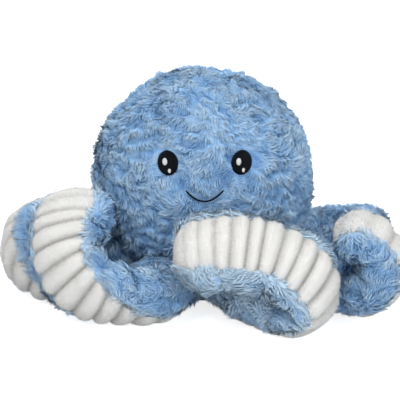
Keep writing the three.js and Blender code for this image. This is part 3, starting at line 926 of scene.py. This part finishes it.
def makeArmFur(index, route):
    node, look = armWays[index]["node"], armLook
    length, half = route["length"], armSizes["soleHalfAngle"] - look["tuck"]
    step = look["step"]

    def wrap(u, v, bed=0.0):
        along = np.clip(v * length, *(length * end for end in look["ends"]))
        swell = look["unevenness"] * 2 * ripple(v * 0.5 + u * 0.3, index + 7) + bed
        places = armPoint(route, along, half + u * (math.tau - half * 2), look["furInset"], swell, swell)
        places[:, 2] = np.maximum(places[:, 2], look["furFloor"])
        return places

    bm, flat = wrapGrid(look["furColumns"], look["furRows"], wrap)
    u, v = flat.T
    along, toEdge, outward = v * length, np.minimum(u, 1 - u), (u - 0.5) * 2
    ahead = unit(wrap(u, keptShare(v + step)) - wrap(u, keptShare(v - step)))
    across = unit(wrap(keptShare(u + step), v) - wrap(keptShare(u - step), v))
    comb = (ahead * (look["combAhead"] - look["combOut"] * np.abs(outward) ** 2)[:, None]
            + across * (outward * look["combOut"])[:, None])
    fadeStart, fadeLength = look["rootFade"]
    cover = keptShare(placesOf(bm)[:, 2] / look["floorFade"])
    cover = cover * keptShare((along - fadeStart) / fadeLength)
    cover = np.where(along < look["rootBare"], 0.0, cover)
    edge = look["edgePile"] + (1 - look["edgePile"]) * keptShare(toEdge / look["edgeFade"])
    heights, leans = tufts(wrap(u, v), comb)
    raised = wrap(u, v, bedHeight(heights) * cover * edge)
    fringe = keptShare(1 - toEdge / look["fringeWidth"]) * look["fringeTone"]
    setFloats(bm, "pile", cover)
    # the bed is coloured near the root's painted shade
    setFloats(bm, "tipShare", pile["bedShadeTone"])
    setFloats(bm, "tuft", np.maximum(heights, fringe))
    # painted light: the pile of a shaded arm curl is coloured paler
    setFloats(bm, "pale", look["paintedLightArms"].get(node, 0.0))
    setVectors(bm, "lean", leans)
    layBakeUv(bm, flat)
    faceAway(bm, *armMiddle(bm, route))
    giveWall(bm, wrap(u, v, -look["furWall"]), "pile", raised)
    weld(bm, look["weld"])
    fur = meshObject(pieceName(node + "_fur"), bm)
    growPile(fur, "pile", "fur", pile["armSpacing"], pile["armLength"], index + 11)
    finishPiece(fur, node, [node + "_fur"])


def finishPiece(piece, body, nodes):
    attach(piece, body)
    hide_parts(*nodes)


filling = {"weld": 0.1 * mm, "smoothing": 0.4}


def makeFilling(node, body):
    # the packed fibre, rounded off from the solid that holds its place
    node = node + "_filling"
    bm = bmesh.new()
    bm.from_mesh(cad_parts[node].data)
    weld(bm, filling["weld"])
    bmesh.ops.subdivide_edges(bm, edges=bm.edges[:], cuts=1, use_grid_fill=True)
    bmesh.ops.smooth_vert(bm, verts=bm.verts[:], factor=filling["smoothing"],
                          use_axis_x=True, use_axis_y=True, use_axis_z=True)
    piece = meshObject(pieceName(node), bm)
    piece.data.materials.append(materials["fibre"])
    finishPiece(piece, body, [node])


# head, base and face

head = {
    "radius": 92 * mm,
    "halfHeight": 96 * mm,
    "centre": (0.0, 0.0, 98 * mm),
    "hubRadius": 57 * mm,
    "hubHeight": 30 * mm,
    "hubCore": 0.3,            # this share of the hub's radius is spread out to the hub's edge
    "bottom": 3.4 * mm,
    "bareBelow": 14 * mm,
    "rootGap": 24 * mm,        # no pile so near an arm's root, and a short one beyond
    "rootFade": 6 * mm,
    "wall": 2.6 * mm,
    "turns": 240,
    "rings": 160,
    "lumps": 0.8 * mm,
    "seam": 0.01 * mm,         # the front and back halves meet in the plane y = 0
    "weld": 0.002 * mm,
    "combDown": 0.75,
    "combRound": 0.7,
}

base = {
    "radius": 50 * mm,
    "thickness": 2.8 * mm,
    "corners": 96,
    "rings": 14,
}

face = {
    "shift": 2 * mm,
    "front": -20 * mm,
    "eyeSpacing": 62 * mm,
    "eyeHeight": 133.5 * mm,
    "eyeHalfWidth": 8.9 * mm,
    "eyeHalfHeight": 9.9 * mm,
    "eyeLow": 0.5 * mm,
    "eyeDome": 4.2 * mm,
    "gleamHalfWidth": 2.1 * mm,
    "gleamHalfHeight": 2.9 * mm,
    "gleamSink": 0.1 * mm,
    "gleamDome": 0.9 * mm,
    "gleams": [("upper", (-0.28, 0.2), 1.0), ("lower", (0.16, -0.5), 0.62)],
    "patchCorners": 56,
    "patchRings": 9,
    "patchInset": 0.1,
    "patchThickness": 0.5 * mm,
    "smileHalfWidth": 16 * mm,
    "smileEndHeight": 113.4 * mm,
    "smileDrop": 9.2 * mm,
    "smileThread": 0.75 * mm,
    "smileOut": 4.0 * mm,
    "smileGrid": (10, 80),
    "smileEnds": 14,           # how fast the thread tapers at its ends
    "stitchDepth": 0.08,
    "stitches": 170,
    "eyePile": 0.35,           # the pile at an eye, as a share of its full length
    "eyeBare": 0.97,           # in eye radii
    "eyeFade": 1.1,
    "smilePile": 0.3,
    "smileBare": 1.5 * mm,
    "smileFade": 9 * mm,
    "crownFlat": 0.3,          # the pile lies flatter on the crown
    "crownFrom": 150 * mm,
    "crownFade": 44 * mm,
}


def onHead(across, height, out):
    wide, high = head["radius"] + out, head["halfHeight"] + out
    x = across / wide
    z = (height - head["centre"][2]) / high
    return np.stack([across, -wide * np.sqrt(keptShare(1 - x * x - z * z)), height], -1)


def smileHeight(share):
    return face["smileEndHeight"] - face["smileDrop"] * (1 - share * share)


def facePile(places):
    # the pile is short at the eyes and along the smile
    x, z = places[:, 0] - face["shift"], places[:, 2]
    cover = np.ones(len(places))
    for side in (-1, 1):
        dx = (x - side * face["eyeSpacing"] / 2) / face["eyeHalfWidth"]
        dz = (z - face["eyeHeight"]) / face["eyeHalfHeight"]
        gap = np.sqrt(dx * dx + dz * dz)
        near = keptShare((gap - 1.0) / face["eyeFade"])
        amount = np.where(gap < face["eyeBare"], 0.0, face["eyePile"] + (1 - face["eyePile"]) * near)
        cover = np.minimum(cover, amount)
    share = np.clip(x / face["smileHalfWidth"], -1, 1)
    gap = np.hypot(x - share * face["smileHalfWidth"], (z - smileHeight(share)) * 0.9)
    near = keptShare((gap - face["smileBare"]) / face["smileFade"])
    cover = np.minimum(cover, face["smilePile"] + (1 - face["smilePile"]) * near)
    cover = np.where(places[:, 1] < face["front"], cover, 1.0)
    crown = keptShare((z - face["crownFrom"]) / face["crownFade"])
    return cover * (1 - face["crownFlat"] * crown)


def headComb(places):
    # the pile is combed down and round, in a few wide swirls
    out = unit((places - head["centre"]) / [head["radius"], head["radius"], head["halfHeight"]])
    down = unit(np.array([0, 0, -1.0]) - out * (-out[:, 2:3]))
    wave = np.sin(places[:, 0] * 45 + 1.0) * np.cos(places[:, 2] * 38 + places[:, 1] * 20)
    return down * head["combDown"] + np.cross(out, down) * (head["combRound"] * wave)[:, None]


def headShape(sign):
    # one half of the stuffed ball, on the narrower hub that the arms are sewn round
    centre, seam = np.array(head["centre"]), 1e-5

    def wrap(u, v):
        turn, rise = u * math.pi * sign, v * math.pi
        ring = np.sin(rise) * head["radius"]
        across = np.where((u < seam) | (u > 1 - seam), 0.0, np.sin(turn) * ring)
        places = centre + np.stack([np.cos(turn) * ring, across, -np.cos(rise) * head["halfHeight"]], 1)
        x, y, z = places.T
        lump = np.sin(x * 61 + z * 23) * np.sin(y * 53 + 1.3) * np.sin(z * 47 + x * 19)
        places = places + unit(places - centre) * (head["lumps"] * (lump - 1))[:, None]
        reach = np.maximum(np.hypot(places[:, 0], places[:, 1]), 1e-7)
        inHub = (places[:, 2] < head["hubHeight"]) & (reach < head["hubRadius"])
        wide = head["hubRadius"] * np.minimum(1.0, reach / (head["hubCore"] * head["hubRadius"]))
        places[:, :2] *= np.where(inHub, wide / reach, 1.0)[:, None]
        places[:, 2] = np.maximum(places[:, 2], head["bottom"])
        return places

    bm, flat = wrapGrid(head["turns"] // 2, head["rings"], wrap)
    layBakeUv(bm, flat)
    weld(bm, head["weld"])
    bm.verts.index_update()
    return bm


def makeHeadHalf(node, sign, seed):
    bm = headShape(sign)
    places = placesOf(bm)
    onSeam = np.abs(places[:, 1]) < head["seam"]
    cover = np.where(places[:, 2] < head["bareBelow"], 0.0, facePile(places))
    for index in range(len(armWays)):
        gap = np.linalg.norm(places - rootPlace(index, armSizes["rootRing"]), axis=1)
        cover = np.minimum(cover, keptShare((gap - head["rootGap"]) / head["rootFade"]))
    out = unit(places - head["centre"])
    heights, leans = tufts(places, headComb(places))
    raised = places + out * (bedHeight(heights) * cover)[:, None]
    inner = places - out * head["wall"]
    for skin in (raised, inner):
        skin[:, 1] = np.where(onSeam, 0.0, skin[:, 1])
    setFloats(bm, "pile", cover)
    # the bed is coloured near the root's painted shade
    setFloats(bm, "tipShare", pile["bedShadeTone"])
    setFloats(bm, "tuft", heights)
    setVectors(bm, "lean", leans)
    faceAway(bm, max(bm.faces, key=lambda item: item.calc_center_median().z), head["centre"])
    giveWall(bm, inner, "pile", raised)
    piece = meshObject(pieceName(node), bm)
    growPile(piece, "pile", "fur", pile["headSpacing"], pile["headLength"], seed)
    finishPiece(piece, "body", [node])


def makeBase():
    # the round panel that closes the underside, flat, in the soles' cloth with painted shade for the grooves
    # of ribs
    bm = bmesh.new()
    bmesh.ops.create_circle(bm, cap_ends=True, segments=base["corners"], radius=base["radius"])
    panel, inset = bm.faces[:], base["radius"] / (base["rings"] + 1)
    for _ in range(base["rings"]):
        bmesh.ops.inset_region(bm, faces=panel, thickness=inset, use_boundary=True)
    bm.verts.index_update()
    places = placesOf(bm)
    wave = np.abs(np.sin(places[:, 0] / armSizes["ribPitch"] * math.pi))
    layUv(bm, "weave", places[:, :2])
    # painted shade in stripes, as grooves between ribs on the flat panel
    setFloats(bm, "ridge", wave ** 0.5)
    for item in bm.faces:
        if item.normal.z > 0:
            item.normal_flip()
    bmesh.ops.solidify(bm, geom=bm.faces[:], thickness=base["thickness"])
    bm.normal_update()
    bm.verts.index_update()
    setVectors(bm, "bedNormal", [v.normal for v in bm.verts])
    piece = meshObject("basePanel", bm)
    piece.data.materials.append(materials["sole"])
    finishPiece(piece, "body", ["base_panel"])


def domedPatch(node, kind, across, height, halfWidth, halfHeight, low, dome):
    # an oval of satin stitches, raised in the middle
    bm = bmesh.new()
    bmesh.ops.create_circle(bm, cap_ends=True, segments=face["patchCorners"], radius=1.0)
    for _ in range(face["patchRings"]):
        bmesh.ops.inset_region(bm, faces=[centreFace(bm)], thickness=face["patchInset"], use_boundary=True)
    bm.verts.index_update()
    x, y, _ = placesOf(bm).T
    reach = np.minimum(np.hypot(x, y), 1)
    out = low + dome * np.sqrt(keptShare(1 - reach ** 4))
    moveTo(bm.verts, onHead(across + x * halfWidth, height + y * halfHeight, out))
    faceAway(bm, centreFace(bm), head["centre"])
    bmesh.ops.solidify(bm, geom=bm.faces[:], thickness=face["patchThickness"])
    piece = meshObject(pieceName(node), bm)
    piece.data.materials.append(materials[kind])
    finishPiece(piece, "body", [node])


def centreFace(bm):
    return max(bm.faces, key=lambda item: len(item.verts))


def makeEyes():
    for side, sign in (("left", 1), ("right", -1)):
        across, height = face["shift"] + sign * face["eyeSpacing"] / 2, face["eyeHeight"]
        wide, high = face["eyeHalfWidth"], face["eyeHalfHeight"]
        domedPatch(side + "_eye", "thread", across, height, wide, high, face["eyeLow"], face["eyeDome"])
        for label, (x, z), size in face["gleams"]:
            dome = face["eyeDome"] * math.sqrt(1 - math.hypot(x, z) ** 4)
            domedPatch(side + "_eye_gleam_" + label, "gleam", across + wide * x, height + high * z,
                       face["gleamHalfWidth"] * size, face["gleamHalfHeight"] * size,
                       face["eyeLow"] + dome - face["gleamSink"], face["gleamDome"])


def makeSmile():
    # one thick stitch, whose thread runs round and tapers at its ends
    def wrap(u, v):
        turn, share = u * math.tau, v * 2 - 1
        slope = np.arctan2(face["smileDrop"] * 2 * share, face["smileHalfWidth"])
        taper = np.clip((1 - np.abs(share)) * face["smileEnds"], 0.02, 1) ** 0.5
        thread = face["smileThread"] * taper * (1 + face["stitchDepth"] * np.sin(share * face["stitches"]))
        across = face["shift"] + share * face["smileHalfWidth"] - np.sin(slope) * np.cos(turn) * thread
        height = smileHeight(share) + np.cos(slope) * np.cos(turn) * thread
        return onHead(across, height, face["smileOut"] + np.sin(turn) * thread)

    bm, _ = wrapGrid(*face["smileGrid"], wrap)
    weld(bm, 0.03 * mm)
    bmesh.ops.holes_fill(bm, edges=bm.edges[:])
    bmesh.ops.recalc_face_normals(bm, faces=bm.faces[:])
    piece = meshObject("smileStitch", bm)
    piece.data.materials.append(materials["thread"])
    finishPiece(piece, "body", ["smile"])


# putting it together

makeCamera()
makeLamps()
makeWorld()
makeFloor()
bpy.context.scene.view_settings.view_transform = "Standard"
print("studio ready")

groups = {"patchNoise": patchNoise()}
materials = {
    "fur": furMaterial(),
    "sole": soleMaterial(),
    "thread": threadMaterial("darkStitch", cloth["thread"], 0.5),
    "gleam": threadMaterial("paleStitch", cloth["gleam"], 0.55),
    "fibre": fibreMaterial(),
}
locks = {"pile": makeLock(), "velvet": makeVelvetLock()}
for kind, lock in locks.items():
    groups[kind] = pileTree(kind, lock)
print("cloth ready")

makeHeadHalf("head_fur_front", -1, 1)
makeHeadHalf("head_fur_back", 1, 2)
makeBase()
makeFilling("head", "body")
print("head ready")

makeEyes()
makeSmile()
print("face ready")

for index, way in enumerate(armWays):
    route = armRoute(index)
    makeSole(index, route)
    makeArmFur(index, route)
    makeFilling(way["node"], way["node"])
    print(pieceName(way["node"]), "ready, %.0f mm long" % (route["length"] / mm))

for lock in locks.values():
    bpy.data.objects.remove(lock)
